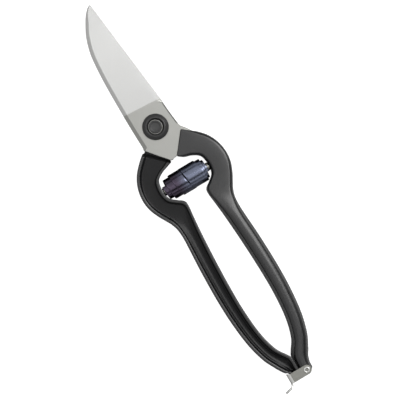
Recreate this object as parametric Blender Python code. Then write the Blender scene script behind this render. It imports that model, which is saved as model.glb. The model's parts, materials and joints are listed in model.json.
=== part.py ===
"""Pruning shears: two crossed channel levers, riveted pivot, volute spring and thumb catch.

X runs across the tool, +Y to the blade tips, +Z from the back face to the front face.
The origin is on the pivot axis, on the flat underside of the pivot rivet's head.
"""
import math

import bmesh
import bpy
import numpy as np

MM = 0.001

# Levels through the pivot, in mm above the rest plane.
MID_Z = 6.9              # plane in which the two blades slide on each other
HALF_PLAY = 0.15         # half of the running gap between the blades
PLATE = 2.65             # steel thickness at the pivot plate
RIVET_HEAD = 2.4         # height of the rivet's head below the back washer
RIVET_TOP = 12.3

# Channel section of the ring and the handle, coated size.
RING_DEPTH = 7.6
HANDLE_DEPTH = 10.0
WALL = 2.6               # rim, coat to coat
FLOOR = 1.6              # from the sliding plane to the trough's floor, past it
CORNER = 2.2             # round between the web and a flange
COAT = 0.6
STEEL_INSET = 0.85       # from the coat's outside to the steel, with 0.25 between them

# Pivot and spring.
HOLE_R = 3.85
SHANK_R = 3.5
WASHER_R = 7.1
SPRING_Y = -32.4
SPRING_TURNS = 2.6       # on each side of the outermost turn
SPRING_R = 6.5
SPRING_STEP = 1.25       # radius lost in each turn
STRIP = 0.6
STUD_R = 2.3

# Thumb catch.
CATCH_PIVOT = (3.6, -152.7)
CATCH_Z = 12.2
CATCH_SHEET = 1.0
CATCH_HALF = 2.6         # half of its width
CATCH_LEFT = -7.4

# Outlines of a right-hand lever, (x, y) in mm. The left-hand lever mirrors them across x = 0.
FRONT_SPINE = [(3.1, 74.6), (0.9, 73.3), (-2.2, 70.0), (-5.8, 64.0), (-7.7, 60.0), (-9.6, 54.0),
               (-10.7, 48.0), (-11.5, 38.0), (-11.8, 28.0), (-11.95, 12.8)]
FRONT_EDGE = [(3.15, 74.6), (9.95, 12.8)]
FRONT_PLATE = [((-11.9, 11.4), (10.0, 11.4)), ((-11.8, 0.0), (10.85, 0.0)), ((-11.5, -8.1), (11.4, -4.2)),
               ((-6.6, -14.1), (11.6, -5.2)), ((-1.7, -20.1), (11.7, -5.9)), ((1.8, -19.2), (12.0, -6.4))]
BACK_SPINE = [(-1.5, 72.4), (-3.0, 62.0), (-5.2, 45.0), (-7.4, 28.0), (-9.4, 12.8)]
BACK_EDGE = [(-0.9, 72.4), (0.8, 62.0), (3.6, 40.0), (6.4, 20.0), (10.4, 12.8)]
BACK_PLATE = [((-9.6, 11.4), (11.4, 11.4)), ((-10.2, 0.0), (11.9, 0.0)), ((-10.2, -6.5), (11.7, -5.4)),
              ((-5.7, -12.5), (11.8, -6.8)), ((-1.2, -18.6), (11.9, -7.6)), ((2.0, -20.6), (12.1, -8.5))]

# Inner and outer side of the ring and the handle, in matching pairs.
RING_AND_HANDLE = [
    ((5.0, -21.5), (17.2, -12.1)), ((9.0, -22.9), (22.0, -17.5)), ((12.7, -25.4), (24.9, -23.4)),
    ((14.0, -29.2), (26.1, -30.0)), ((14.1, -33.1), (25.5, -36.2)), ((12.9, -36.9), (23.4, -41.7)),
    ((9.8, -39.7), (21.2, -45.8)), ((6.9, -41.9), (19.2, -49.5)), ((6.1, -44.8), (17.9, -53.6)),
    ((6.8, -52.0), (17.5, -59.0)), ((7.6, -60.5), (17.75, -65.0)), ((8.65, -77.0), (18.55, -79.0)),
    ((9.3, -95.0), (18.95, -96.0)), ((9.2, -110.0), (18.55, -110.5)), ((7.9, -124.0), (17.0, -125.0)),
    ((5.1, -134.5), (14.2, -136.2)), ((1.7, -140.8), (10.9, -143.2)), ((0.35, -145.8), (8.3, -147.6)),
    ((0.35, -149.4), (7.2, -151.0)), ((0.35, -154.6), (7.1, -154.6))]


def clear_scene():
    for item in list(bpy.data.objects):
        bpy.data.objects.remove(item, do_unlink=True)


def material(name, colour, roughness, metallic):
    mat = bpy.data.materials.new(name)
    mat.use_nodes = True
    shader = mat.node_tree.nodes["Principled BSDF"]
    shader.inputs["Base Color"].default_value = (*colour, 1.0)
    shader.inputs["Roughness"].default_value = roughness
    shader.inputs["Metallic"].default_value = metallic
    return mat


def add_object(name, bm, mat):
    """Turn a bmesh drawn in mm into an object in metres, with faces pointing out."""
    bmesh.ops.scale(bm, vec=(MM, MM, MM), verts=bm.verts)
    bmesh.ops.recalc_face_normals(bm, faces=bm.faces)
    mesh = bpy.data.meshes.new(name)
    bm.to_mesh(mesh)
    bm.free()
    mesh.shade_smooth()
    mesh.set_sharp_from_angle(angle=math.radians(35))
    mesh.materials.append(mat)
    obj = bpy.data.objects.new(name, mesh)
    bpy.context.collection.objects.link(obj)
    return obj


def cut(obj, cutter):
    """Subtract a hidden cutter from an object."""
    cutter.hide_render = True
    cutter.display_type = "WIRE"
    boolean = obj.modifiers.new("cut_" + cutter.name, "BOOLEAN")
    boolean.operation = "DIFFERENCE"
    boolean.solver = "EXACT"
    boolean.object = cutter


def rings_to_bmesh(rings, bm=None, flip=False, cap_start=True, cap_end=True):
    """Skin a row of closed loops that have the same number of points."""
    bm = bm or bmesh.new()
    loops = [[bm.verts.new(point) for point in ring] for ring in rings]
    for here, there in zip(loops, loops[1:]):
        for k in range(len(here)):
            j = (k + 1) % len(here)
            bm.faces.new((here[k], there[k], there[j], here[j]))
    if cap_start:
        bm.faces.new(loops[0])
    if cap_end:
        bm.faces.new(loops[-1])
    return bm, loops


def smooth_path(points, per_span):
    """Catmull-Rom curve through the points, with per_span steps between neighbours."""
    p = np.array(points, dtype=float)
    p = np.vstack([2 * p[0] - p[1], p, 2 * p[-1] - p[-2]])
    out = []
    for k in range(1, len(p) - 2):
        for u in np.arange(per_span) / per_span:
            a, b, c, d = p[k - 1], p[k], p[k + 1], p[k + 2]
            out.append(0.5 * (2 * b + (c - a) * u + (2 * a - 5 * b + 4 * c - d) * u ** 2
                              + (3 * b - a - 3 * c + d) * u ** 3))
    out.append(p[-2])
    return np.array(out)


def at_height(curve, y):
    """x on a curve that falls in y."""
    curve = np.array(curve)
    return np.interp(-y, -curve[:, 1], curve[:, 0])


def ease(value, start, end):
    """0 before start, 1 after end, with a soft step between them."""
    u = min(max((value - start) / (end - start), 0.0), 1.0)
    return u * u * (3 - 2 * u)


def place(ring, a, b):
    """Put a section (w, z) on the line from a to b, w running from a."""
    a, b = np.array(a, dtype=float), np.array(b, dtype=float)
    along = (b - a) / np.linalg.norm(b - a)
    return [(a[0] + along[0] * w, a[1] + along[1] * w, z) for w, z in ring]


def blade_section(width, spine_top, face_spine, face_edge, edge_top):
    """Section of the blade: chamfered spine, flat face, bevelled cutting edge, flat back."""
    low = MID_Z + HALF_PLAY
    chamfer, bevel = min(2.4, 0.25 * width), min(2.3, 0.25 * width)
    side = [(0, low), (0, spine_top), (0.5 * chamfer, 0.5 * (spine_top + face_spine)),
            (chamfer, face_spine), (width - bevel, face_edge),
            (width - 0.5 * bevel, 0.5 * (face_edge + edge_top)), (width, edge_top), (width, low)]
    under = [(width * u, low) for u in (0.86, 0.74, 0.6, 0.4, 0.26, 0.14)]
    return side + under


def channel_section(width, inset, top, web_under, foot, corner):
    """Channel section: web on top, two flanges down to foot. inset shrinks it all round."""
    top, foot, web_under = top - inset, foot + inset, web_under + inset
    r = max(corner - inset, 0.35)
    wall, cant, toe = min(WALL, 0.38 * width) - inset, 0.35, 0.4
    bend = 0.3 * r
    foot = min(foot, web_under)
    left = [(inset, foot + toe), (inset, top - r), (inset + bend, top - bend), (inset + r, top)]
    right = [(width - w, z) for w, z in reversed(left)]
    under = [(width - inset - toe, foot), (width - wall, foot), (width - wall - cant, web_under),
             (wall + cant, web_under), (wall, foot), (inset + toe, foot)]
    return left + right + under


def depth_at(y):
    """Coated depth of the channel: shallow round the ring, deeper along the handle."""
    return RING_DEPTH + (HANDLE_DEPTH - RING_DEPTH) * ease(-y, 36.0, 62.0)


def channel_stations(start_pair):
    pairs = [start_pair] + RING_AND_HANDLE
    inner = smooth_path([p[0] for p in pairs], 2)
    outer = smooth_path([p[1] for p in pairs], 2)
    return inner, outer


def channel_rings(start_pair, inset, end_inset, flange_from):
    """Sections of the channel from the pivot plate to the handle's end."""
    inner, outer = channel_stations(start_pair)
    travel = np.linalg.norm(np.diff(outer, axis=0, prepend=outer[:1]), axis=1).cumsum()
    rings = []
    for k, (a, b) in enumerate(zip(inner, outer)):
        if k == len(inner) - 1:
            a, b = a + (0, end_inset), b + (0, end_inset)
        half = 0.5 * depth_at(a[1])
        joggle = ease(travel[k], 0.0, 9.0)
        start_top = MID_Z + HALF_PLAY + PLATE + STEEL_INSET
        start_under = MID_Z + HALF_PLAY - STEEL_INSET
        top = start_top + (MID_Z + half - start_top) * joggle
        past_plate = travel[k] > flange_from
        under = MID_Z - FLOOR if past_plate else start_under
        foot = MID_Z - half if past_plate else start_under
        width = np.linalg.norm(b - a)
        rings.append(place(channel_section(width, inset, top, under, foot, CORNER * joggle), a, b))
    return rings


def steel_rings(spine, edge, plate, flange_from):
    """Sections of one lever's steel, from the blade's tip to the handle's end."""
    low = MID_Z + HALF_PLAY
    spine = smooth_path(spine, 2)
    rings = []
    for y in list(spine[:-1, 1]):
        left, right = at_height(spine, y), at_height(edge, y)
        thin = ease(y, 20.0, 74.0)
        face = low + 2.45 - 0.9 * thin
        rings.append(place(blade_section(right - left, face - 0.75, face, low + 1.35 - 0.4 * thin,
                                         low + 0.3), (left, y), (right, y)))
    for a, b in plate[:-1]:
        width = math.dist(a, b)
        rings.append(place(blade_section(width, low + PLATE - 0.3, low + PLATE, low + PLATE,
                                         low + PLATE - 0.3), a, b))
    rings += channel_rings(plate[-1], STEEL_INSET, STEEL_INSET, flange_from)
    return rings


def to_left_hand(bm):
    """Turn a right-hand piece into the left-hand one: mirror across x = 0, front to back."""
    for vert in bm.verts:
        vert.co.x = -vert.co.x
        vert.co.z = 2 * MID_Z - vert.co.z
    return bm


def make_lever(name, spine, edge, plate, flange_from, left_hand, mat):
    bm, _ = rings_to_bmesh(steel_rings(spine, edge, plate, flange_from))
    return add_object(name, to_left_hand(bm) if left_hand else bm, mat)


def make_grip(name, plate, flange_from, left_hand, mat):
    """Coat round the channel: an outer and an inner skin, joined where the steel goes in."""
    bm, outer = rings_to_bmesh(channel_rings(plate[-1], 0.0, 0.0, flange_from), cap_start=False)
    bm, inner = rings_to_bmesh(channel_rings(plate[-1], COAT, COAT, flange_from), bm, cap_start=False)
    for k in range(len(outer[0])):
        j = (k + 1) % len(outer[0])
        bm.faces.new((outer[0][k], inner[0][k], inner[0][j], outer[0][j]))
    return add_object(name, to_left_hand(bm) if left_hand else bm, mat)


def turned(profile, centre, axis="Z", segments=32):
    """Solid of revolution from (radius, height) points; it starts and ends on the axis."""
    bm = bmesh.new()
    angles = 2 * math.pi * (np.arange(segments) + 0.5) / segments
    rows = []
    for radius, height in profile:
        count = 1 if radius == 0 else segments
        rows.append([bm.verts.new((radius * math.cos(t), radius * math.sin(t), height))
                     for t in angles[:count]])
    for low, high in zip(rows, rows[1:]):
        for k in range(segments):
            j = (k + 1) % segments
            corners = [low[k % len(low)], low[j % len(low)], high[j % len(high)], high[k % len(high)]]
            bm.faces.new(list(dict.fromkeys(corners)))
    for vert in bm.verts:
        x, y, z = vert.co
        if axis == "X":
            x, y, z = z, x, y
        vert.co = (x + centre[0], y + centre[1], z + centre[2])
    return bm


def ring_profile(profile, centre, segments=32):
    """Solid of revolution from a closed (radius, height) outline that stays off the axis."""
    angles = 2 * math.pi * np.arange(segments + 1) / segments
    bm = bmesh.new()
    rows = [[bm.verts.new((centre[0] + r * math.cos(t), centre[1] + r * math.sin(t), centre[2] + z))
             for r, z in profile] for t in angles[:-1]]
    for here, there in zip(rows, rows[1:] + rows[:1]):
        for k in range(len(profile)):
            j = (k + 1) % len(profile)
            bm.faces.new((here[k], there[k], there[j], here[j]))
    return bm


def slab(outline, low, high):
    """Flat sheet with the given outline between two heights."""
    bm = bmesh.new()
    face = bm.faces.new([bm.verts.new((x, y, low)) for x, y in outline])
    out = bmesh.ops.extrude_face_region(bm, geom=[face])
    for item in out["geom"]:
        if isinstance(item, bmesh.types.BMVert):
            item.co.z = high
    return bm


def make_pivot(black):
    """Rivet with a flat head behind and a washer on each face."""
    back_face = MID_Z - HALF_PLAY - PLATE
    front_face = MID_Z + HALF_PLAY + PLATE
    rivet = [(0, 0), (5.6, 0), (7.0, 0.9), (7.0, 1.7), (6.6, RIVET_HEAD), (SHANK_R, RIVET_HEAD),
             (SHANK_R, RIVET_TOP - 0.4), (SHANK_R - 0.4, RIVET_TOP), (2.5, RIVET_TOP),
             (2.2, RIVET_TOP - 0.2), (0, RIVET_TOP - 0.2)]
    add_object("pivot_rivet", turned(rivet, (0, 0, 0)), black)
    back = [(HOLE_R, 2.7), (WASHER_R - 0.3, 2.7), (WASHER_R, 3.0), (WASHER_R, back_face - 0.25),
            (HOLE_R, back_face - 0.25)]
    add_object("back_pivot_washer", ring_profile(back, (0, 0, 0)), black)
    front = [(HOLE_R, front_face + 0.25), (WASHER_R, front_face + 0.25), (WASHER_R, front_face + 0.9),
             (5.35, front_face + 2.3), (4.75, front_face + 2.4), (4.5, front_face + 2.0),
             (HOLE_R, front_face + 1.6)]
    add_object("front_pivot_washer", ring_profile(front, (0, 0, 0)), black)


def strip_edges(n):
    """Left and right edge (x) of the spring strip at n turns from the middle of the strip."""
    right = [(-SPRING_TURNS, -5.6), (-0.5, -0.4), (0.5, 10.8), (SPRING_TURNS, 13.5)]
    left = [(-SPRING_TURNS, -13.5), (-0.5, -7.4), (0.5, 0.4), (SPRING_TURNS, 5.8)]
    return (np.interp(n, *zip(*left)), np.interp(n, *zip(*right)))


def make_spring(blued):
    """Double volute: one strip whose middle is the outermost turn and whose ends coil inwards."""
    steps = round(2 * SPRING_TURNS * 20)
    rings = []
    for n in np.linspace(-SPRING_TURNS, SPRING_TURNS, steps + 1):
        radius = SPRING_R - SPRING_STEP * abs(n)
        angle = 2 * math.pi * n
        x0, x1 = strip_edges(n)
        ring = []
        for x, r in ((x0, -0.5), (x1, -0.5), (x1, 0.5), (x0, 0.5)):
            reach = radius + r * STRIP
            ring.append((x, SPRING_Y + reach * math.sin(angle), MID_Z - reach * math.cos(angle)))
        rings.append(ring)
    bm, _ = rings_to_bmesh(rings)
    add_object("volute_spring", bm, blued)


def make_studs(steel, grips):
    """Short stud on each inner flange that the spring's end slips over."""
    for side, name, grip in ((1, "front_spring_stud", grips[0]), (-1, "back_spring_stud", grips[1])):
        foot, nose = 14.15, 10.2
        profile = [(0, nose), (STUD_R - 0.5, nose), (STUD_R, nose + 0.6), (STUD_R, foot), (0, foot)]
        bm = turned([(r, side * x) for r, x in profile], (0, SPRING_Y, MID_Z), "X", 20)
        add_object(name, bm, steel)
        hole = [(0, 12.0), (STUD_R + 0.3, 12.0), (STUD_R + 0.3, 15.1), (0, 15.1)]
        bm = turned([(r, side * x) for r, x in hole], (0, SPRING_Y, MID_Z), "X", 20)
        cut(grip, add_object(name + "_hole", bm, steel))


def tab_path():
    """Middle of the catch's bent-down side: straight, then curling out as the thumb tab."""
    middle = CATCH_LEFT + 0.5 * CATCH_SHEET
    return [(middle, -150.1), (middle, -152.8), (middle, -155.1), (middle - 0.6, -156.6),
            (middle - 1.8, -157.6), (middle - 3.6, -158.3), (middle - 5.4, -158.6)]


def ribbon_outline(path, thickness):
    """Closed outline of a strip of even thickness along a path."""
    p = np.array(path)
    tangent = np.gradient(p, axis=0)
    tangent /= np.linalg.norm(tangent, axis=1)[:, None]
    normal = np.stack([-tangent[:, 1], tangent[:, 0]], axis=1) * 0.5 * thickness
    return [tuple(q) for q in np.vstack([p + normal, (p - normal)[::-1]])]


def make_catch(plated, grips, levers):
    """Catch plate with its hook side and thumb tab, its rivet and its wave washer."""
    px, py = CATCH_PIVOT
    turn = [(px + CATCH_HALF * math.cos(t), py + CATCH_HALF * math.sin(t))
            for t in np.linspace(-math.pi / 2, math.pi / 2, 11)]
    outline = turn + [(CATCH_LEFT, py + CATCH_HALF), (CATCH_LEFT, py - CATCH_HALF)]
    plate = add_object("catch_plate", slab(outline, CATCH_Z, CATCH_Z + CATCH_SHEET), plated)
    side = add_object("catch_side", slab(ribbon_outline(tab_path(), CATCH_SHEET), 7.4,
                                         CATCH_Z + 0.6 * CATCH_SHEET), plated)
    side.hide_render = True
    side.display_type = "WIRE"
    join = plate.modifiers.new("bent side", "BOOLEAN")
    join.operation = "UNION"
    join.solver = "EXACT"
    join.object = side
    under = MID_Z - FLOOR
    hole = [(0, under - 0.4), (1.45, under - 0.4), (1.45, 20), (0, 20)]
    bore = add_object("catch_bore", turned(hole, (px, py, 0), segments=20), plated)
    for target in (plate, grips[0], levers[0]):
        cut(target, bore)
    face = CATCH_Z + CATCH_SHEET + 0.3
    rivet = [(0, under + 0.1), (1.0, under + 0.1), (1.15, under + 0.25), (1.15, face), (1.7, face),
             (1.7, face + 0.45), (0.85, face + 0.55), (0.75, CATCH_Z + 0.2), (0, CATCH_Z + 0.2)]
    add_object("catch_rivet", turned(rivet, (px, py, 0), segments=20), plated)
    # The left-hand lever's end is notched so that the hook side can lie against it.
    for target, reach, ahead in ((grips[1], 1.4, 0.5), (levers[1], 2.3, 1.4)):
        x, y = CATCH_LEFT + reach, py + CATCH_HALF + ahead
        notch = [(x - 4, y), (x, y), (x, y - 9), (x - 4, y - 9)]
        cut(target, add_object(target.name + "_notch", slab(notch, -1.0, 14.0), plated))


def main():
    clear_scene()
    steel = material("blade_steel", (0.55, 0.55, 0.53), 0.32, 1.0)
    coat = material("black_dip_coat", (0.02, 0.02, 0.021), 0.42, 0.0)
    black = material("black_oxide_steel", (0.03, 0.03, 0.03), 0.45, 0.6)
    blued = material("blued_spring_steel", (0.12, 0.13, 0.2), 0.3, 1.0)
    plated = material("plated_steel", (0.5, 0.5, 0.47), 0.4, 1.0)

    levers = (make_lever("front_lever", FRONT_SPINE, FRONT_EDGE, FRONT_PLATE, 0.4, False, steel),
              make_lever("back_lever", BACK_SPINE, BACK_EDGE, BACK_PLATE, 2.0, True, steel))
    grips = (make_grip("front_grip", FRONT_PLATE, 0.4, False, coat),
             make_grip("back_grip", BACK_PLATE, 2.0, True, coat))
    bore = add_object("pivot_bore", turned([(0, -1), (HOLE_R, -1), (HOLE_R, 14), (0, 14)], (0, 0, 0)), steel)
    for lever in levers:
        cut(lever, bore)
    make_pivot(black)
    make_spring(blued)
    make_studs(steel, grips)
    make_catch(plated, grips, levers)


main()
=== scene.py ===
import json
import math

import bpy
import mathutils
import numpy as np
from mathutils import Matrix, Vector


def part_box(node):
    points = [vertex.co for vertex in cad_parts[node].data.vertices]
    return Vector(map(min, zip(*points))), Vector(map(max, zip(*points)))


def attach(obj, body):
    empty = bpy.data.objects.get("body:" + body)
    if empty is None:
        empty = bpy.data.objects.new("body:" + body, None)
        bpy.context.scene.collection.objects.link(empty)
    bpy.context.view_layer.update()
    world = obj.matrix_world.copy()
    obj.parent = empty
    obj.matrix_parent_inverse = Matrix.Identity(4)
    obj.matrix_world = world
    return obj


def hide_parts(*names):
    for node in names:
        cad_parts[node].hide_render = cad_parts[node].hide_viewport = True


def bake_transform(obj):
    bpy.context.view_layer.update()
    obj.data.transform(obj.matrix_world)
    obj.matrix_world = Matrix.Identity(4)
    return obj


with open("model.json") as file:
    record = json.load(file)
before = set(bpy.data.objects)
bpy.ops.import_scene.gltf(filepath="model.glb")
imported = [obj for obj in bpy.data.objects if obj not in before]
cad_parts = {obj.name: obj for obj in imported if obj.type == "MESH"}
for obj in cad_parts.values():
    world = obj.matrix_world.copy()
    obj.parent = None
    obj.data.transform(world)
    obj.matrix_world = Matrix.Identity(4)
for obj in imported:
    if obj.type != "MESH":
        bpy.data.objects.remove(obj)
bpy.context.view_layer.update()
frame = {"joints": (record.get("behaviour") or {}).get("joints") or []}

mm = 0.001



# Low and high corner of a box, from m to mm.
def inMm(box):
    return [np.array(corner) / mm for corner in box]


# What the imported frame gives: the sliding plane, the spring's place and the catch's axis and top.
midZ = frame["joints"][0]["pos_m"][2] / mm
springLow, springHigh = inMm(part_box("volute_spring"))
springY = 0.5 * (springLow[1] + springHigh[1])
catchTop = inMm(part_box("catch_plate"))[1][2]
catchPivot = np.array(frame["joints"][1]["pos_m"]) / mm
grindLine = 12.8   # where the pivot plate ends and the blade's ground face starts, along Y


studio = {
    "aim": (0.6 * mm, -45.8 * mm, midZ * mm),  # middle of the view
    "turn": -30.6,          # degrees, the tool lies across the view
    "width": 214.8 * mm,    # what the view takes in, side to side
    "lens": 150.0,          # mm, on a sensor 36 mm wide
    "sensor": 36.0,
    "floorTone": 0.30,
    "floorGlow": 0.98,
    "floorHalf": 2.5,
    "overhead": 0.10,       # radiance of the surroundings above the horizon glow
    "horizon": 0.95,
    "glowEnd": (0.22, 0.42),         # height of the view direction where the glow fades
    "lampAim": (0.0, -0.04, 0.0),
    "lamps": [  # name, place (m), size (m), radiance
        ("overheadBox", (0.18, -0.05, 1.25), (0.80, 1.00), 1.38),
        ("keyPanel", (0.68, 0.05, 0.84), (0.42, 1.10), 5.5),
        ("fillPanel", (-0.68, 0.10, 0.86), (1.60, 1.00), 0.75),
        ("tipPanel", (0.0, 0.66, 0.95), (1.30, 0.95), 1.0),
        ("handlePanel", (0.0, -0.85, 0.75), (1.20, 0.30), 1.3),
    ],
}


def makeCamera():
    data = bpy.data.cameras.new("viewCamera")
    data.lens = studio["lens"]
    data.sensor_width = studio["sensor"]
    data.clip_start = 0.01
    camera = bpy.data.objects.new("viewCamera", data)
    bpy.context.scene.collection.objects.link(camera)
    x, y, z = studio["aim"]
    camera.location = (x, y, z + studio["width"] * data.lens / data.sensor_width)
    camera.rotation_euler = (0.0, 0.0, math.radians(studio["turn"]))
    bpy.context.scene.camera = camera


def makeLamps():
    for name, place, size, radiance in studio["lamps"]:
        data = bpy.data.lights.new(name, "AREA")
        data.shape = "RECTANGLE"
        data.size, data.size_y = size
        data.energy = radiance * math.pi * size[0] * size[1]
        lamp = bpy.data.objects.new(name, data)
        bpy.context.scene.collection.objects.link(lamp)
        lamp.location = place
        aim = mathutils.Vector(studio["lampAim"]) - lamp.location
        lamp.rotation_euler = aim.to_track_quat("-Z", "Y").to_euler()


# Surroundings: a pale glow near the horizon fading to dark overhead, and plain pale where the camera looks.
def makeWorld():
    world = bpy.data.worlds.new("studioWorld")
    bpy.context.scene.world = world
    world.use_nodes = True
    nodes, links = world.node_tree.nodes, world.node_tree.links
    nodes.clear()
    output = nodes.new("ShaderNodeOutputWorld")
    around, pale = nodes.new("ShaderNodeBackground"), nodes.new("ShaderNodeBackground")
    pale.inputs["Strength"].default_value = studio["horizon"]
    coords, split = nodes.new("ShaderNodeTexCoord"), nodes.new("ShaderNodeSeparateXYZ")
    links.new(coords.outputs["Generated"], split.inputs["Vector"])
    fade = nodes.new("ShaderNodeMapRange")
    fade.interpolation_type = "SMOOTHSTEP"
    low, high = studio["glowEnd"]
    for name, value in (("From Min", low), ("From Max", high), ("To Min", studio["horizon"]),
                        ("To Max", studio["overhead"])):
        fade.inputs[name].default_value = value
    links.new(split.outputs["Z"], fade.inputs["Value"])
    links.new(fade.outputs["Result"], around.inputs["Strength"])
    rays, mix = nodes.new("ShaderNodeLightPath"), nodes.new("ShaderNodeMixShader")
    links.new(rays.outputs["Is Camera Ray"], mix.inputs["Fac"])
    links.new(around.outputs["Background"], mix.inputs[1])
    links.new(pale.outputs["Background"], mix.inputs[2])
    links.new(mix.outputs["Shader"], output.inputs["Surface"])
    bpy.context.scene.view_settings.view_transform = "Standard"


makeCamera()
makeLamps()
makeWorld()
print("studio ready")


def newMaterial(name, colour, roughness, metallic, **sockets):
    mat = bpy.data.materials.new(name)
    mat.use_nodes = True
    shader = mat.node_tree.nodes["Principled BSDF"]
    shader.inputs["Base Color"].default_value = (*colour, 1.0)
    shader.inputs["Roughness"].default_value = roughness
    shader.inputs["Metallic"].default_value = metallic
    for socket, value in sockets.items():
        shader.inputs[socket.replace("_", " ")].default_value = value
    return mat, mat.node_tree, shader


# Streaky noise on stretched object coordinates: a roughness between Low and High, a height, and a mask that
# varies more slowly.
def grainGroup():
    group = bpy.data.node_groups.new("surfaceGrain", "ShaderNodeTree")
    for name, kind, value in (("Scale", "NodeSocketFloat", 200.0), ("Detail", "NodeSocketFloat", 4.0),
                              ("Low", "NodeSocketFloat", 0.3), ("High", "NodeSocketFloat", 0.5)):
        socket = group.interface.new_socket(name, in_out="INPUT", socket_type=kind)
        socket.default_value = value
    stretch = group.interface.new_socket("Stretch", in_out="INPUT", socket_type="NodeSocketVector")
    stretch.default_value = (1.0, 1.0, 1.0)
    for name in ("Roughness", "Height", "Mask"):
        group.interface.new_socket(name, in_out="OUTPUT", socket_type="NodeSocketFloat")
    nodes, links = group.nodes, group.links
    entry, leave = nodes.new("NodeGroupInput"), nodes.new("NodeGroupOutput")
    coords, scaled = nodes.new("ShaderNodeTexCoord"), nodes.new("ShaderNodeVectorMath")
    scaled.operation = "MULTIPLY"
    fine, broad = nodes.new("ShaderNodeTexNoise"), nodes.new("ShaderNodeTexNoise")
    broad.inputs["Scale"].default_value = 55.0
    broad.inputs["Detail"].default_value = 3.0
    spread, blend = nodes.new("ShaderNodeMapRange"), nodes.new("ShaderNodeMath")
    fineShare = 0.55
    blend.operation = "MULTIPLY_ADD"
    blend.inputs[1].default_value = fineShare
    share = nodes.new("ShaderNodeMath")
    share.operation = "MULTIPLY"
    share.inputs[1].default_value = 1 - fineShare
    links.new(coords.outputs["Object"], scaled.inputs[0])
    links.new(entry.outputs["Stretch"], scaled.inputs[1])
    links.new(scaled.outputs["Vector"], fine.inputs["Vector"])
    links.new(entry.outputs["Scale"], fine.inputs["Scale"])
    links.new(entry.outputs["Detail"], fine.inputs["Detail"])
    links.new(coords.outputs["Object"], broad.inputs["Vector"])
    links.new(broad.outputs["Fac"], share.inputs[0])
    links.new(fine.outputs["Fac"], blend.inputs[0])
    links.new(share.outputs["Value"], blend.inputs[2])
    links.new(blend.outputs["Value"], spread.inputs["Value"])
    spread.inputs["From Min"].default_value = 0.3
    spread.inputs["From Max"].default_value = 0.7
    links.new(entry.outputs["Low"], spread.inputs["To Min"])
    links.new(entry.outputs["High"], spread.inputs["To Max"])
    links.new(spread.outputs["Result"], leave.inputs["Roughness"])
    links.new(fine.outputs["Fac"], leave.inputs["Height"])
    links.new(broad.outputs["Fac"], leave.inputs["Mask"])
    return group


surfaceGrain = grainGroup()


# Place the grain group in a material: it drives the roughness and a small bump.
def addGrain(tree, shader, scale, stretch, low, high, bump, detail=4.0):
    nodes, links = tree.nodes, tree.links
    grain = nodes.new("ShaderNodeGroup")
    grain.node_tree = surfaceGrain
    grain.inputs["Scale"].default_value = scale
    grain.inputs["Stretch"].default_value = stretch
    grain.inputs["Detail"].default_value = detail
    grain.inputs["Low"].default_value = low
    grain.inputs["High"].default_value = high
    links.new(grain.outputs["Roughness"], shader.inputs["Roughness"])
    relief = nodes.new("ShaderNodeBump")
    relief.inputs["Strength"].default_value = bump
    relief.inputs["Distance"].default_value = 0.0001
    links.new(grain.outputs["Height"], relief.inputs["Height"])
    links.new(relief.outputs["Normal"], shader.inputs["Normal"])
    return grain


# Base colour between two tones by a mask that varies over the surface.
def twoTone(tree, shader, mask, dark, light):
    mix = tree.nodes.new("ShaderNodeMix")
    mix.data_type = "RGBA"
    mix.inputs["A"].default_value = (*dark, 1.0)
    mix.inputs["B"].default_value = (*light, 1.0)
    tree.links.new(mask, mix.inputs["Factor"])
    tree.links.new(mix.outputs["Result"], shader.inputs["Base Color"])
    return mix


# Another tint on the left, at smaller X; the change runs from x = start to x = end, in m.
def fadeLeft(tree, shader, tint, start, end, leftTint):
    nodes, links = tree.nodes, tree.links
    coords, split = nodes.new("ShaderNodeTexCoord"), nodes.new("ShaderNodeSeparateXYZ")
    fade = nodes.new("ShaderNodeMapRange")
    links.new(coords.outputs["Object"], split.inputs["Vector"])
    links.new(split.outputs["X"], fade.inputs["Value"])
    fade.interpolation_type = "SMOOTHSTEP"
    fade.inputs["From Min"].default_value = start
    fade.inputs["From Max"].default_value = end
    mix = nodes.new("ShaderNodeMix")
    mix.data_type = "RGBA"
    mix.inputs["A"].default_value = (*leftTint, 1.0)
    links.new(fade.outputs["Result"], mix.inputs["Factor"])
    links.new(tint.outputs["Result"], mix.inputs["B"])
    links.new(mix.outputs["Result"], shader.inputs["Base Color"])


# Ground steel: bright and fine beyond the grind line, grey and coarser on the pivot plate.
def steelMaterial(polished, brushed):
    mat, tree, shader = newMaterial("bladeSteel", polished, 0.25, 1.0)
    nodes, links = tree.nodes, tree.links
    coords, split = nodes.new("ShaderNodeTexCoord"), nodes.new("ShaderNodeSeparateXYZ")
    links.new(coords.outputs["Object"], split.inputs["Vector"])
    bow = nodes.new("ShaderNodeMath")
    bow.operation = "MULTIPLY_ADD"
    bow.inputs[1].default_value = 0.06   # the grind line runs slightly uphill towards the edge
    links.new(split.outputs["X"], bow.inputs[0])
    links.new(split.outputs["Y"], bow.inputs[2])
    step = nodes.new("ShaderNodeMapRange")
    step.interpolation_type = "SMOOTHSTEP"
    step.inputs["From Min"].default_value = (grindLine - 0.4) * mm
    step.inputs["From Max"].default_value = (grindLine + 0.4) * mm
    links.new(bow.outputs["Value"], step.inputs["Value"])
    grain = addGrain(tree, shader, 900.0, (1.0, 0.12, 1.0), 0.30, 0.42, 0.03)
    twoTone(tree, shader, step.outputs["Result"], brushed, polished)
    calm = nodes.new("ShaderNodeMix")
    calm.inputs["B"].default_value = 0.17   # roughness of the polished face
    links.new(step.outputs["Result"], calm.inputs["Factor"])
    links.new(grain.outputs["Roughness"], calm.inputs["A"])
    links.new(calm.outputs["Result"], shader.inputs["Roughness"])
    return mat


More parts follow.
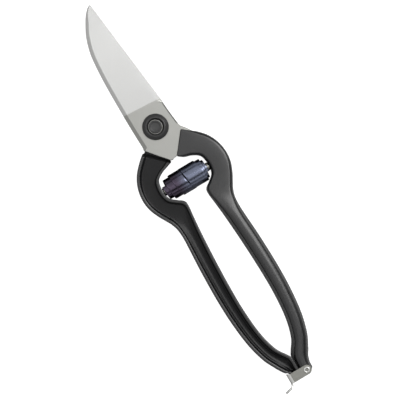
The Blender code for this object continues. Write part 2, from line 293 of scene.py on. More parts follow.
# Dipped vinyl: nearly black, semi-gloss, with a faint orange peel. Where marked hollow it reflects less:
# painted shade in the trough.
def coatMaterial():
    mat, tree, shader = newMaterial("blackDip", (0.008, 0.008, 0.0085), 0.3, 0.0)
    grain = addGrain(tree, shader, 420.0, (1.0, 1.0, 1.0), 0.17, 0.27, 0.12, 2.0)
    twoTone(tree, shader, grain.outputs["Mask"], (0.006, 0.006, 0.0065), (0.012, 0.012, 0.0125))
    inside, troughShade = tree.nodes.new("ShaderNodeAttribute"), tree.nodes.new("ShaderNodeMapRange")
    inside.attribute_name = "hollow"
    troughShade.inputs["To Min"].default_value = 0.5
    troughShade.inputs["To Max"].default_value = 0.15   # painted shade: the trough's floor and inner walls reflect less, so the trough looks darker
    tree.links.new(inside.outputs["Fac"], troughShade.inputs["Value"])
    tree.links.new(troughShade.outputs["Result"], shader.inputs["Specular IOR Level"])
    return mat


def oxideMaterial():
    mat, tree, shader = newMaterial("blackOxide", (0.02, 0.02, 0.02), 0.42, 0.4)
    grain = addGrain(tree, shader, 800.0, (1.0, 1.0, 1.0), 0.36, 0.5, 0.15)
    twoTone(tree, shader, grain.outputs["Mask"], (0.018, 0.018, 0.018), (0.045, 0.045, 0.045))
    return mat


# Tempered strip: blue to violet tints in long soft patches, fine rolling lines along the strip.
def bluedMaterial():
    mat, tree, shader = newMaterial("bluedSteel", (0.2, 0.22, 0.32), 0.3, 1.0)
    grain = addGrain(tree, shader, 260.0, (1.0, 3.0, 3.0), 0.2, 0.32, 0.08)
    tint = twoTone(tree, shader, grain.outputs["Mask"], (0.085, 0.085, 0.125), (0.19, 0.22, 0.29))
    fadeLeft(tree, shader, tint, -0.006, 0.001, (0.062, 0.05, 0.072))   # the left half is browner
    return mat


# Dull plating; given a limit along X (m), left of it the colour is painted bright: a painted highlight on the
# catch's bend and thumb tab.
def platedMaterial(name, dark, light, paintedHighlightFrom=None):
    mat, tree, shader = newMaterial(name, light, 0.35, 1.0)
    grain = addGrain(tree, shader, 500.0, (1.0, 1.0, 1.0), 0.26, 0.38, 0.12)
    tint = twoTone(tree, shader, grain.outputs["Mask"], dark, light)
    if paintedHighlightFrom is not None:
        # painted highlight: a bright tint left of the given X
        fadeLeft(tree, shader, tint, paintedHighlightFrom - 0.0002, paintedHighlightFrom + 0.0002, (0.62, 0.62, 0.60))
    return mat


# Glows for the eye only, and is grey in the tool's reflections.
def floorMaterial():
    mat, tree, shader = newMaterial("paleFloor", (studio["floorTone"],) * 3, 0.9, 0.0)
    shader.inputs["Specular IOR Level"].default_value = 0.0
    shader.inputs["Emission Color"].default_value = (1, 1, 1, 1)
    rays, glow = tree.nodes.new("ShaderNodeLightPath"), tree.nodes.new("ShaderNodeMath")
    glow.operation = "MULTIPLY"
    glow.inputs[1].default_value = studio["floorGlow"]
    tree.links.new(rays.outputs["Is Camera Ray"], glow.inputs[0])
    tree.links.new(glow.outputs["Value"], shader.inputs["Emission Strength"])
    return mat


bladeSteel = steelMaterial((0.435, 0.435, 0.428), (0.262, 0.262, 0.248))
blackDip = coatMaterial()
blackOxide = oxideMaterial()
bluedSteel = bluedMaterial()
dullNickel = platedMaterial("dullNickel", (0.15, 0.15, 0.138), (0.29, 0.29, 0.265))
# the catch's bend and tab, left of x = -5.5 mm, get a painted highlight
catchNickel = platedMaterial("catchNickel", (0.15, 0.15, 0.138), (0.29, 0.29, 0.265), -0.0055)
brightNickel = platedMaterial("brightNickel", (0.42, 0.42, 0.41), (0.62, 0.62, 0.60))
print("materials ready")


def makeFloor():
    mesh = bpy.data.meshes.new("floor")
    half = studio["floorHalf"]
    corners = [(-half, -half, 0), (half, -half, 0), (half, half, 0), (-half, half, 0)]
    mesh.from_pydata(corners, [], [(0, 1, 2, 3)])
    mesh.materials.append(floorMaterial())
    floor = bpy.data.objects.new("floor", mesh)
    bpy.context.scene.collection.objects.link(floor)


makeFloor()


# Quads between neighbouring rows of points; closed joins each row's last point to its first.
def gridFaces(rows, columns, first=0, closed=True, flip=False):
    r = np.arange(rows - 1)[:, None]
    c = np.arange(columns if closed else columns - 1)[None, :]
    here, there = first + r * columns, first + (r + 1) * columns
    after = (c + 1) % columns
    quads = np.stack([here + c, there + c, there + after, here + after], axis=-1).reshape(-1, 4)
    return quads[:, ::-1] if flip else quads


# Put points (mm) and faces into a mesh, shade it smooth and hang it on its body.
def makePiece(name, points, faces, caps, mat, body, node, sharp=32.0):
    mesh = bpy.data.meshes.new(name)
    faceList = faces.tolist() + [list(cap) for cap in caps]
    mesh.from_pydata((points * mm).tolist(), [], faceList)
    mesh.validate()
    mesh.shade_smooth()
    mesh.set_sharp_from_angle(angle=math.radians(sharp))
    mesh.materials.append(mat)
    piece = bpy.data.objects.new(name, mesh)
    bpy.context.scene.collection.objects.link(piece)
    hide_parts(node)
    if body:
        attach(piece, body)
    return piece


# Catmull-Rom curve at t, counted in spans. Between two points it is a cubic of them and their neighbours.
def smoothCurve(points, t):
    p = np.array(points, dtype=float)
    p = np.vstack([2 * p[0] - p[1], p, 2 * p[-1] - p[-2]])
    spans = len(p) - 3
    k = np.clip(np.asarray(t).astype(int), 0, spans - 1)
    u = (t - k)[:, None]
    a, b, c, d = p[k], p[k + 1], p[k + 2], p[k + 3]
    square, cube = 2 * a - 5 * b + 4 * c - d, 3 * b - a - 3 * c + d
    return 0.5 * (2 * b + (c - a) * u + square * u ** 2 + cube * u ** 3)


# Straight runs between the points, at t counted in spans.
def straightCurve(points, t):
    p = np.array(points, dtype=float)
    return np.stack([np.interp(t, np.arange(len(p)), p[:, i]) for i in range(p.shape[1])], axis=1)


# Zero before start, one after end, a smooth step between them.
def ease(value, start, end):
    u = np.clip((value - start) / (end - start), 0, 1)
    return u * u * (3 - 2 * u)


# Set the sharp flag on the edges that run along given columns of a grid, between two rows.
def creaseColumns(mesh, columns, creases):
    pairs = np.zeros(len(mesh.edges) * 2, dtype=np.int64)
    mesh.edges.foreach_get("vertices", pairs)
    row, column = np.divmod(pairs.reshape(-1, 2), columns)
    flags = np.zeros(len(mesh.edges), dtype=bool)
    mesh.edges.foreach_get("use_edge_sharp", flags)
    for k, start, end in creases:
        flags |= (column == k).all(axis=1) & (row >= start).all(axis=1) & (row <= end).all(axis=1)
    mesh.edges.foreach_set("use_edge_sharp", flags)


channel = {
    "ringDepth": 7.6, "handleDepth": 10.0,   # front to back, coat to coat
    "wall": 1.9, "toe": 0.55,                # rim thickness and the round of its edges
    "floor": 1.6,                            # the trough's floor, past the sliding plane
    "ringDish": 0.12, "handleDish": 0.7,     # how much the trough's floor sinks in its middle
    "ringFlare": 0.5, "handleFlare": 1.5,    # how far the web is narrower than the open side, each side
    "ringCrown": 0.12, "handleCrown": 0.15,
    "ringCorner": 1.5, "handleCorner": 2.3,
    "draft": 0.4, "fillet": 0.5,             # lean of the rims' inner side, and its round at the floor
    "steelInset": 0.85, "coat": 0.6,
    "halfPlay": 0.15, "plate": 2.65,
    "ringEnd": 36.0, "handleStart": 62.0,    # the section changes from ring to handle between them
    "joggle": 9.0,                           # length in which the web leaves the plate's level
}

# The section has this many points on each side, corner, web, toe round, inner wall, fillet and floor.
sidePoints, cornerPoints, webPoints, toePoints = 6, 9, 15, 5
innerPoints, filletPoints, floorPoints = 4, 5, 13
underPoints = 2 * (2 * toePoints + innerPoints + filletPoints) + floorPoints
sectionPoints = 2 * (sidePoints + cornerPoints) + webPoints + underPoints


# Points along an arc: centre + radius * (cos, sin) between two angles, for every section at once.
def arcPoints(w, z, radius, start, end, count):
    angle = start + (end - start) * np.linspace(0, 1, count)[None, :]
    return np.stack([w + radius * np.cos(angle), z + radius * np.sin(angle)], axis=-1)


# Points between two points (w, z), leaving out one or both ends.
def linePoints(w0, z0, w1, z1, count, skipFirst=False, skipLast=False):
    u = np.linspace(0, 1, count + skipFirst + skipLast)[int(skipFirst):][:count][None, :]
    return np.stack([w0 + (w1 - w0) * u, z0 + (z1 - z0) * u], axis=-1)


# Channel section (w, z): flared sides, round corners, crowned web, flat rims, dished trough.
# The left half is worked out and the right half is its mirror across w = width / 2.
def channelLoop(width, top, under, foot, wall, flare, corner, crown, dish):
    height = np.maximum(under - foot, 0.02)
    foot = under - height
    toe = np.minimum(np.minimum(channel["toe"], 0.45 * wall), 0.45 * height)
    trough = width - 2 * wall
    draft = np.minimum(channel["draft"], 0.08 * trough)
    fillet = np.minimum(np.minimum(channel["fillet"], 0.1 * trough), 0.45 * height)
    slope = np.arctan2(2 * crown, 0.5 * width - flare - 0.8 * corner)
    lean = np.arctan2(flare, top - crown - corner - foot)
    cornerW = flare + corner
    cornerZ = top - crown - corner * np.cos(slope)
    bend = arcPoints(cornerW, cornerZ, corner, math.pi - lean, 0.5 * math.pi + slope, cornerPoints)
    side = linePoints(0 * width, foot + toe, bend[:, :1, 0], bend[:, :1, 1], sidePoints, skipLast=True)
    v = np.linspace(-1, 1, webPoints + 2)[None, 1:-1]
    edge = bend[:, -1:, :]
    half = 0.5 * width - edge[..., 0]
    rise = top - edge[..., 1]
    web = np.stack([0.5 * width + half * v, edge[..., 1] + rise * (1 - v ** 2)], axis=-1)
    outerToe = arcPoints(toe, foot + toe, toe, -0.5 * math.pi, -math.pi, toePoints + 1)[:, :-1]
    innerToe = arcPoints(wall - toe, foot + toe, toe, 0.0, -0.5 * math.pi, toePoints)
    inner = linePoints(wall + draft, under - fillet, wall, foot + toe, innerPoints, True, True)
    fillets = arcPoints(wall + draft + fillet, under - fillet, fillet, 0.5 * math.pi, math.pi, filletPoints)
    v = np.linspace(1, -1, floorPoints + 2)[None, 1:-1]
    half = 0.5 * trough - draft - fillet
    floor = np.stack([0.5 * width + half * v, under + dish * (1 - v ** 2)], axis=-1)
    left = np.concatenate([fillets, inner, innerToe, outerToe], axis=1)

    def mirror(part):
        other = part[:, ::-1].copy()
        other[..., 0] = width - other[..., 0]
        return other
    return np.concatenate([side, bend, web, mirror(bend), mirror(side), mirror(left), floor, left], axis=1)


# Blade and pivot plate section: chamfered spine, face, bevelled edge and a flat back.
def bladeLoop(width, low, spineTop, chamfer, faceSpine, faceEdge, bevel, edgeTop):
    zero = 0 * width
    return np.concatenate([
        linePoints(zero, low, zero, spineTop, sidePoints, skipLast=True),
        linePoints(zero, spineTop, chamfer, faceSpine, cornerPoints),
        linePoints(chamfer, faceSpine, width - bevel, faceEdge, webPoints, True, True),
        linePoints(width - bevel, faceEdge, width, edgeTop, cornerPoints),
        linePoints(width, edgeTop, width, low, sidePoints, skipFirst=True),
        linePoints(width, low, zero, low, underPoints, True, True)], axis=1)


# Put sections (w, z) on the lines from a to b: w runs along the line, z is height.
def placeLoops(loops, a, b, shift=0.0):
    along = (b - a) / np.linalg.norm(b - a, axis=1, keepdims=True)
    w = loops[..., :1] + shift
    flat = a[:, None, :] + along[:, None, :] * w
    return np.concatenate([flat, loops[..., 1:]], axis=-1)


# The left-hand lever is the right-hand one turned half a turn about Y through the sliding plane.
def turnOver(points):
    return points * (-1, 1, -1) + (0, 0, 2 * midZ)


# Inner and outer side of the ring and of the handle, from the plate to the far end.
ringAndHandle = [
    ((5.0, -21.5), (17.2, -12.1)), ((9.0, -22.9), (22.0, -17.5)), ((12.7, -25.4), (24.9, -23.4)),
    ((14.0, -29.2), (26.1, -30.0)), ((14.1, -33.1), (25.5, -36.2)), ((12.9, -36.9), (23.4, -41.7)),
    ((9.8, -39.7), (21.2, -45.8)), ((6.9, -41.9), (19.2, -49.5)), ((6.1, -44.8), (17.9, -53.6)),
    ((6.8, -52.0), (17.5, -59.0)), ((7.6, -60.5), (17.75, -65.0)), ((8.65, -77.0), (18.55, -79.0)),
    ((9.3, -95.0), (18.95, -96.0)), ((9.2, -110.0), (18.55, -110.5)), ((7.9, -124.0), (17.0, -125.0)),
    ((5.1, -134.5), (14.2, -136.2)), ((1.35, -140.6), (10.9, -143.2)),
    ((0.1, -142.8), (9.8, -145.2)), ((-0.25, -145.4), (8.3, -147.6))]

frontLever = {
    "tip": 74.6,
    "spine": [(3.1, 74.6), (0.9, 73.3), (-2.2, 70.0), (-5.8, 64.0), (-7.7, 60.0), (-9.6, 54.0),
              (-10.7, 48.0), (-11.5, 38.0), (-11.8, 28.0), (-11.95, grindLine)],
    "edge": [(3.15, 74.6), (9.95, grindLine)],
    "plate": [((-11.95, grindLine), (9.95, grindLine)), ((-11.9, 6.0), (10.3, 6.0)),
              ((-11.8, 0.0), (10.85, 0.0)), ((-11.5, -8.1), (11.35, -4.2)), ((-6.6, -14.1), (11.6, -5.2)),
              ((-1.8, -19.7), (11.8, -5.9)), ((1.8, -19.2), (12.0, -6.4))],
    "end": [((-0.25, -149.4), (7.2, -151.0)), ((-0.25, -154.6), (7.1, -154.6))],
    "thin": 0.0,      # length of coat that stays thin, where the other plate slides over it
    "wedge": 1.6,     # how far the coat is short of the steel's outer side where it starts
}
backLever = {
    "tip": 72.4,
    "spine": [(-1.5, 72.4), (-3.0, 62.0), (-5.2, 45.0), (-7.4, 28.0), (-9.4, grindLine)],
    "edge": [(-0.9, 72.4), (0.8, 62.0), (3.6, 40.0), (6.4, 20.0), (10.4, grindLine)],
    "plate": [((-9.4, grindLine), (10.4, grindLine)), ((-9.9, 6.0), (11.6, 8.5)), ((-10.2, 0.0), (11.8, 0.0)),
              ((-10.2, -6.5), (11.6, -5.4)), ((-5.7, -12.5), (11.7, -6.3)), ((-1.2, -18.6), (11.8, -6.9)),
              ((1.0, -19.8), (11.9, -7.3))],
    "end": [((-0.25, -148.9), (7.25, -148.9)), ((-0.25, -149.4), (5.95, -149.4)),
            ((-0.25, -154.6), (5.9, -154.6))],
    "thin": 1.3,
    "wedge": 0.2,
}


startStations = 48   # the first span, where the coat starts, has this many


# Inner and outer side of the ring and handle at close stations, and the distance travelled along them.
def channelPath(lever):
    pairs = np.array([lever["plate"][-1]] + ringAndHandle + lever["end"][:1], dtype=float)
    spans = len(pairs) - 1
    dense = np.linspace(0, 1, startStations, endpoint=False)
    t = np.concatenate([dense, np.arange(1, spans, 1 / 12), [spans]])
    inner, outer = smoothCurve(pairs[:, 0], t), smoothCurve(pairs[:, 1], t)
    tail = np.array(lever["end"], dtype=float)
    run = len(tail) - 1
    u = np.concatenate([np.arange(1, run), run - (1 - np.linspace(0, 1, 28)[1:]) ** 1.6])
    inner = np.vstack([inner, straightCurve(tail[:, 0], u)])
    outer = np.vstack([outer, straightCurve(tail[:, 1], u)])
    middle = 0.5 * (inner + outer)
    travel = np.linalg.norm(np.diff(middle, axis=0, prepend=middle[:1]), axis=1).cumsum()
    return inner, outer, travel[:, None]


# Sections of the channel. From ring to handle the depth, crown, flare and dish grow. The trough's floor and
# the rims step out where the other lever's plate is passed.
# Insets run inwards from the coat's surface: at the inner side, the outer side, in depth and at the far end.
def channelLoops(lever, inset, rightInset, depthInset, endInset=0.0):
    inner, outer, travel = channelPath(lever)
    insets = [np.broadcast_to(v, travel.shape) for v in (inset, rightInset, depthInset)]
    if endInset:
        keep = inner[:, 1] > inner[-1, 1] + endInset
        inner, outer, travel, *insets = (v[keep] for v in (inner, outer, travel, *insets))
    inset, rightInset, depthInset = insets
    toHandle = ease(-inner[:, 1:], channel["ringEnd"], channel["handleStart"])

    def grow(kind):
        return channel["ring" + kind] + (channel["handle" + kind] - channel["ring" + kind]) * toHandle
    width = np.linalg.norm(outer - inner, axis=1, keepdims=True)
    joggle = ease(travel, 0.0, channel["joggle"])
    past = ease(travel, lever["thin"] + 0.2, lever["thin"] + 1.8)
    toFlare = ease(travel, lever["thin"] + 0.5, channel["joggle"])
    flare = np.minimum(grow("Flare"), 0.14 * width) * toFlare
    corner = np.minimum(grow("Corner"), 0.22 * width) * (0.3 + 0.7 * joggle)
    atPlate = channel["halfPlay"] + channel["plate"] + channel["steelInset"]
    top = midZ + atPlate + (0.5 * grow("Depth") - atPlate) * joggle
    atPlate = channel["halfPlay"] - channel["steelInset"]
    under = midZ + atPlate - (channel["floor"] + atPlate) * past
    foot = under + (midZ - 0.5 * grow("Depth") - under) * past
    wall = np.minimum(channel["wall"], 0.38 * width)
    loops = channelLoop(width - inset - rightInset, top - depthInset, under + depthInset, foot + depthInset,
                        np.maximum(wall - 2 * depthInset, 0.3), flare, np.maximum(corner - depthInset, 0.35),
                        grow("Crown") * joggle, grow("Dish") * past)
    return placeLoops(loops, inner, outer, inset[..., None])


bladeStations = 120
blade = {
    "thin": 1.0, "thinFrom": 20.0,   # thickness lost at the tip, and where along Y the loss starts
    "chamfer": 1.9, "cornerChamfer": 0.15, "chamferFall": 0.32,
    "bevel": 2.3, "neckBevel": 0.7, "bevelFall": 0.04,
    "faceFall": 0.024, "neckFall": 0.75,   # falls are heights per mm of width, but the neck's is in mm
    "ground": (8.0, 32.0),           # the face's slope grows between these two places along Y
    "corner": (7.4, 8.4), "neck": (-12.0, -9.0),   # the same for the plate's corner and neck, along -Y
}


# Sections of the blade and of the pivot plate. Past the grind line the face slopes to the cutting side, and
# the whole blade thins to the tip. The spine's chamfer ends at the plate's left corner.
def plateLoops(lever):
    low = midZ + channel["halfPlay"]
    s = np.linspace(0, 1, bladeStations)[:, None]
    y = grindLine + (lever["tip"] - grindLine) * (1 - s ** 1.5)

    def outline(side):
        curve = smoothCurve(lever[side], np.linspace(0, len(lever[side]) - 1, 300))
        return np.concatenate([np.interp(-y, -curve[:, 1], curve[:, 0]), y], axis=1)
    a, b = outline("spine"), outline("edge")
    pairs = np.array(lever["plate"], dtype=float)
    t = np.linspace(0, len(pairs) - 1, (len(pairs) - 1) * 12 + 1)[1:]
    a = np.vstack([a, straightCurve(pairs[:, 0], t)])
    b = np.vstack([b, straightCurve(pairs[:, 1], t)])
    width = np.linalg.norm(b - a, axis=1, keepdims=True)
    leftY, rightY = a[:, 1:], b[:, 1:]
    thin = ease(rightY, blade["thinFrom"], lever["tip"])
    ground = ease(rightY, *blade["ground"])
    corner = ease(-leftY, *blade["corner"])
    neck = ease(-rightY, *blade["neck"])
    face = low + channel["plate"] - blade["thin"] * thin
    chamfer = np.minimum(blade["chamfer"], 0.22 * width) * (1 - corner)
    chamfer = chamfer + np.minimum(blade["cornerChamfer"], 0.1 * width)
    drop = blade["chamferFall"] * chamfer + 0.05 * np.minimum(width, 1.0)
    bevel = np.minimum(blade["bevel"], 0.22 * width) * (1 - neck) + blade["neckBevel"] * neck
    faceEdge = face - blade["faceFall"] * width * ground
    edgeTop = faceEdge - blade["bevelFall"] * bevel * (1 - neck) - blade["neckFall"] * neck * (1 - corner)
    edgeTop = np.maximum(edgeTop, low + 0.1)
    loops = bladeLoop(width, low + 0 * width, face - drop, chamfer, face, faceEdge, bevel, edgeTop)
    return placeLoops(loops, a, b)


# One lever's steel: blade, pivot plate and the channel core that runs on inside the coat.
def makeLever(name, lever, body, node, isBack):
    travel = channelPath(lever)[2]
    inset = channel["steelInset"]
    outerRun = (0.5, channel["joggle"]) if lever["wedge"] > 1 else (0.0, 0.5)
    outerSide = inset * ease(travel, *outerRun)
    plate = plateLoops(lever)
    core = channelLoops(lever, inset * ease(travel, 0.0, 0.3), outerSide, inset, inset)
    loops = np.concatenate([plate, core[1:]])
    points = loops.reshape(-1, 3)
    points = turnOver(points) if isBack else points
    rows = len(loops)
    caps = [range(sectionPoints)[::-1], range((rows - 1) * sectionPoints, rows * sectionPoints)]
    faces = gridFaces(rows, sectionPoints)
    piece = makePiece(name, points, faces, caps, bladeSteel, body, node, 50.0)
    firstBend, lastBend = sidePoints, sidePoints + cornerPoints - 1
    mirrored = lastBend + webPoints + 1
    ridges = (firstBend, lastBend, mirrored, mirrored + cornerPoints - 1)
    creaseColumns(piece.data, sectionPoints, [(k, 0, len(plate) - 1) for k in ridges])


dip = {"lip": 0.78, "lipRun": 0.8, "end": 1.0, "endRun": 1.0}   # rounding at the coat's start and end


# The dipped coat: an outer skin whose edge swells up from the steel, its end rounded, and an inner skin.
# Rounding at distance d from an end: inset = r * (1 - sqrt(1 - (1 - d / r) ** 2)).
def makeGrip(name, lever, body, node, isBack):
    travel = channelPath(lever)[2]

    def rounding(distance, radius):
        u = np.clip(distance / radius, 0, 1)
        return 1 - np.sqrt(1 - (1 - u) ** 2)
    lip = dip["lip"] * rounding(travel - lever["thin"], dip["lipRun"])
    end = dip["end"] * rounding(travel[-1] - travel, dip["endRun"])
    outset = np.maximum(lip, end)
    side = lever["wedge"] * (1 - ease(travel, 0.0, 7.5))
    skin = channelLoops(lever, outset, outset + side, outset)
    coat = channel["coat"]
    within = np.maximum(coat, outset + 0.02)
    lining = channelLoops(lever, within, within + side, within, coat)
    lining = np.concatenate([lining[:startStations:4], lining[startStations::6], lining[-1:]])
    points = np.concatenate([skin.reshape(-1, 3), lining.reshape(-1, 3)])
    points = turnOver(points) if isBack else points
    rows, first = len(skin), len(skin) * sectionPoints
    last = first + (len(lining) - 1) * sectionPoints
    k = np.arange(sectionPoints)
    j = (k + 1) % sectionPoints
    rim = np.stack([k, j, first + j, first + k], axis=-1)
    faces = np.concatenate([gridFaces(rows, sectionPoints),
                            gridFaces(len(lining), sectionPoints, first, flip=True), rim])
    caps = [range((rows - 1) * sectionPoints, rows * sectionPoints),
            range(last + sectionPoints - 1, last - 1, -1)]
    piece = makePiece(name, points, faces, caps, blackDip, body, node, 60.0)
    # The trough's floor and its inner walls are marked, so that they shine less: painted shade in the trough.
    hollow = np.zeros(len(points), dtype=np.float32)
    firstFloor = sectionPoints - floorPoints - 2 * toePoints - innerPoints - filletPoints
    column = np.arange(len(points)) % sectionPoints
    reachesIn = innerPoints + filletPoints
    hollow[(column >= firstFloor - reachesIn) & (column < firstFloor + floorPoints + reachesIn)] = 1.0
    piece.data.attributes.new("hollow", "FLOAT", "POINT").data.foreach_set("value", hollow)


makeLever("front_lever_steel", frontLever, "front_lever_body", "front_lever", False)
makeLever("back_lever_steel", backLever, "back_lever_body", "back_lever", True)
makeGrip("front_coat", frontLever, "front_lever_body", "front_grip", False)
makeGrip("back_coat", backLever, "back_lever_body", "back_grip", True)
print("levers and coats ready")


# Turned piece: a profile of (radius, height) carried round an axis; a radius of zero closes it on the axis.
def turnedPiece(name, profile, centre, axis, mat, body, node, segments=96, hollow=False):
    profile = np.array(profile, dtype=float)
    angle = 2 * math.pi * np.arange(segments) / segments
    around = np.stack([profile[:, :1] * np.cos(angle), profile[:, :1] * np.sin(angle),
                       profile[:, 1:] + 0 * angle], axis=-1)
    if axis == "X":
        around = around[..., [2, 0, 1]]
    points = (around + np.array(centre)).reshape(-1, 3)
    rows = len(profile)
    faces = gridFaces(rows, segments, flip=True)
    caps = []
    if hollow:
        k = np.arange(segments)
        j = (k + 1) % segments
        close = np.stack([k, (rows - 1) * segments + k, (rows - 1) * segments + j, j], axis=-1)
        faces = np.concatenate([faces, close[:, ::-1]])
    else:
        caps = [list(range(segments))[::-1], list(range((rows - 1) * segments, rows * segments))]
    makePiece(name, points, faces, caps, mat, body, node, 38.0)


# Round the corners of a (radius, height) outline: each corner becomes a parabola of the given size.
def softened(outline, size, steps=5, closed=False):
    p = np.array(outline, dtype=float)
    before = np.roll(p, 1, axis=0)
    after = np.roll(p, -1, axis=0)
    lengthIn = np.linalg.norm(p - before, axis=1, keepdims=True)
    lengthOut = np.linalg.norm(after - p, axis=1, keepdims=True)
    cutIn = np.minimum(size, 0.45 * lengthIn) / np.maximum(lengthIn, 1e-9)
    cutOut = np.minimum(size, 0.45 * lengthOut) / np.maximum(lengthOut, 1e-9)
    start, end = p + (before - p) * cutIn, p + (after - p) * cutOut
    u = np.linspace(0, 1, steps)[None, :, None]
    arcs = (1 - u) ** 2 * start[:, None] + 2 * u * (1 - u) * p[:, None] + u ** 2 * end[:, None]
    if closed:
        return arcs.reshape(-1, 2)
    return np.vstack([p[:1], arcs[1:-1].reshape(-1, 2), p[-1:]])


pivot = {"shank": 3.5, "head": 7.0, "washer": 7.1, "bore": 3.85, "ringInner": 4.5, "ringOuter": 5.35}


# The rivet's head is behind. Its front end is dished, and the front washer rises to a ring round it.
def makePivot():
    backBase, backTop = (corner[2] for corner in inMm(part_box("back_pivot_washer")))
    low, high = (corner[2] for corner in inMm(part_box("pivot_rivet")))
    headTop = backBase - 0.3
    rivet = [(0.02, low), (5.6, low), (pivot["head"], low + 0.9), (pivot["head"], headTop - 0.5),
             (6.6, headTop), (pivot["shank"], headTop), (pivot["shank"], high - 0.05), (2.75, high),
             (2.3, high - 0.28), (0.02, high - 0.34)]
    turnedPiece("pivot_rivet_body", softened(rivet, 0.35), (0, 0, 0), "Z", blackOxide, "front_lever_body",
                "pivot_rivet")
    base, top = (corner[2] for corner in inMm(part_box("front_pivot_washer")))
    washer = [(pivot["bore"], base), (pivot["washer"], base), (pivot["washer"], base + 0.75),
              (pivot["ringOuter"] + 0.15, top - 0.15), (pivot["ringOuter"] - 0.25, top),
              (pivot["ringInner"] + 0.1, top - 0.1), (pivot["ringInner"] - 0.1, base + 0.4),
              (pivot["bore"], base + 0.3)]
    turnedPiece("front_washer_dish", softened(washer, 0.22, 4, True), (0, 0, 0), "Z", blackOxide,
                "front_lever_body", "front_pivot_washer", hollow=True)
    washer = [(pivot["bore"], backBase), (pivot["washer"], backBase), (pivot["washer"], backTop),
              (pivot["bore"], backTop)]
    turnedPiece("back_washer_ring", softened(washer, 0.25, 4, True), (0, 0, 0), "Z", blackOxide,
                "front_lever_body", "back_pivot_washer", hollow=True)


spring = {"turns": 2.6, "strip": 0.46,
          "radius": [(-2.6, 4.3), (-1.5, 5.95), (-0.5, 6.6), (0.5, 6.6), (1.5, 5.6), (2.6, 4.0)],
          "left": [(-2.6, -13.5), (-1.5, -10.9), (-0.5, -7.0), (0.5, 0.4), (2.6, 5.8)],
          "right": [(-2.6, -5.6), (-0.5, -0.4), (0.5, 10.4), (1.5, 11.3), (2.6, 12.9)]}


# Double volute: at n turns from its middle the strip lies at angle 2 pi n; its radius and its left and right
# edges along X are read off the lists at n. Its section is a thin rectangle with round ends.
def makeSpring():
    n = np.linspace(-spring["turns"], spring["turns"], 420)[:, None]
    radius = np.interp(n, *zip(*spring["radius"]))
    angle = 2 * math.pi * n
    left = np.interp(n, *zip(*spring["left"]))
    right = np.interp(n, *zip(*spring["right"]))
    half = 0.5 * spring["strip"]
    turn = np.linspace(-0.5 * math.pi, 0.5 * math.pi, 5)[None, :]
    u = np.linspace(0, 1, 10)[None, 1:-1]
    rightEnd, leftEnd = right - half, left + half
    x = np.concatenate([rightEnd + half * np.cos(turn), rightEnd + (leftEnd - rightEnd) * u,
                        leftEnd - half * np.cos(turn), leftEnd + (rightEnd - leftEnd) * u], axis=1)
    lift = np.concatenate([half * np.sin(turn) + 0 * n, half + 0 * u * n, -half * np.sin(turn) + 0 * n,
                           -half + 0 * u * n], axis=1)
    reach = radius + lift
    points = np.stack([x, springY + reach * np.sin(angle), midZ - reach * np.cos(angle)], axis=-1)
    rows, columns = points.shape[:2]
    faces = gridFaces(rows, columns)
    caps = [range(columns)[::-1], range((rows - 1) * columns, rows * columns)]
    piece = makePiece("volute_strip", points.reshape(-1, 3), faces, caps, bluedSteel, None, "volute_spring",
                      40.0)
    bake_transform(piece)


# Round studs that carry the ends of the spring.
def makeStuds():
    for side, word in ((1, "front"), (-1, "back")):
        low, high = inMm(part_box(word + "_spring_stud"))
        nose, foot = (low[0], high[0]) if side > 0 else (high[0], low[0])
        radius = 0.5 * (high[1] - low[1])
        outline = [(0.02, nose), (radius, nose), (radius, foot), (0.02, foot)]
        if side < 0:
            outline = outline[::-1]
        turnedPiece(word + "_stud", softened(outline, 0.6), (0, springY, midZ), "X", dullNickel,
                    word + "_lever_body", word + "_spring_stud", 48)


catch = {"left": -7.4, "sheet": 0.75, "half": 2.6, "bend": 1.5, "tabLow": 7.5,
         "reach": 6.9, "curl": 2.6, "curlTurn": 1.35}


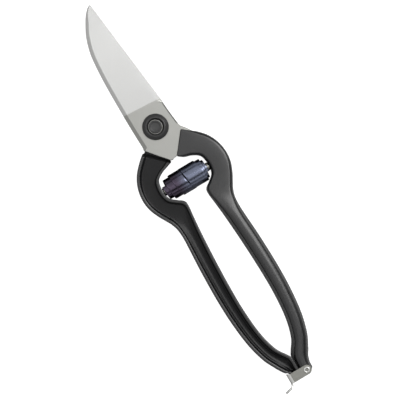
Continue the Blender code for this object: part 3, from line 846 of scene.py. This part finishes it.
# The catch is one sheet. Its middle surface runs from the round end over the rivet, along the plate, round
# the bend and down the hook side. The hook side goes on past the plate's edge and curls out along an arc as
# the thumb tab. The two faces are the middle surface moved half a sheet along its normals.
def makeCatch():
    px, py = catchPivot[:2]
    half, sheet, bend = catch["half"], catch["sheet"], catch["bend"]
    topZ = catchTop - 0.5 * sheet
    sideX = catch["left"] + 0.5 * sheet
    flatEnd, flatStart = sideX + bend, px + half
    flat = flatStart - flatEnd
    arc = 0.5 * math.pi * bend
    down = topZ - bend - catch["tabLow"]
    stops = [(0, 2 * half, 26), (2 * half, flat, 24), (flat, flat + arc, 12),
             (flat + arc, flat + arc + down, 14)]
    a = np.unique(np.concatenate([np.linspace(*stop) for stop in stops]).round(6))[:, None]
    v = np.linspace(0, 1, 61)[None, :]
    bendAngle = np.clip((a - flat) / bend, 0, 0.5 * math.pi)
    x = flatStart - np.minimum(a, flat) - bend * np.sin(bendAngle)
    z = topZ - bend * (1 - np.cos(bendAngle)) - np.clip(a - flat - arc, 0, None)
    fromEnd = np.clip(half - a, 0, half)
    halfWidth = np.sqrt(np.maximum(half ** 2 - fromEnd ** 2, 0.02))
    extra = catch["reach"] * ease(a, flat + 0.9 * arc, flat + 1.1 * arc)
    y = py + halfWidth - (2 * halfWidth + extra) * v
    past = np.clip(py - half - y, 0, None) * (extra > 0)
    curl, curlTurn = catch["curl"], catch["curlTurn"]
    turn = np.clip(past / curl, 0, curlTurn)
    straight = np.clip(past - curlTurn * curl, 0, None)
    x = x - curl * (1 - np.cos(turn)) - straight * math.sin(curlTurn)
    y = y + past - curl * np.sin(turn) - straight * math.cos(curlTurn)
    middle = np.stack([x + 0 * v, y, z + 0 * v], axis=-1)
    across = np.gradient(middle, axis=0)
    along = np.gradient(middle, axis=1)
    normal = np.cross(across, along)
    normal /= np.maximum(np.linalg.norm(normal, axis=-1, keepdims=True), 1e-9)
    rows, columns = middle.shape[:2]
    front, back = middle + 0.5 * sheet * normal, middle - 0.5 * sheet * normal
    points = np.concatenate([front.reshape(-1, 3), back.reshape(-1, 3)])
    second = rows * columns
    border = np.concatenate([np.arange(columns), np.arange(1, rows) * columns + columns - 1,
                             (rows - 1) * columns + np.arange(columns - 2, -1, -1),
                             np.arange(rows - 2, 0, -1) * columns])
    after = np.roll(border, -1)
    rim = np.stack([border, after, second + after, second + border], axis=-1)
    faces = np.concatenate([gridFaces(rows, columns, closed=False, flip=True),
                            gridFaces(rows, columns, second, closed=False), rim[:, ::-1]])
    piece = makePiece("catch_sheet", points, faces, [], catchNickel, "catch_body", "catch_plate",
                      40.0)
    soft = piece.modifiers.new("soft edges", "BEVEL")
    soft.width, soft.segments = 0.12 * mm, 2
    soft.limit_method, soft.angle_limit = "ANGLE", math.radians(50)


# Tubular rivet: the rim is rolled outwards over the plate.
def makeCatchRivet():
    low, high = inMm(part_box("catch_rivet"))
    face = catchTop
    outline = [(0.02, low[2]), (1.15, low[2]), (1.15, face + 0.05), (1.7, face + 0.1), (1.72, high[2] - 0.1),
               (1.25, high[2]), (0.85, high[2] - 0.12), (0.72, high[2] - 0.6), (0.7, face - 0.8),
               (0.02, face - 0.85)]
    centre = (catchPivot[0], catchPivot[1], 0)
    turnedPiece("catch_rivet_tube", softened(outline, 0.2), centre, "Z", brightNickel, "front_lever_body",
                "catch_rivet", 64)


makePivot()
makeSpring()
makeStuds()
makeCatch()
makeCatchRivet()
print("pivot, spring and catch ready")
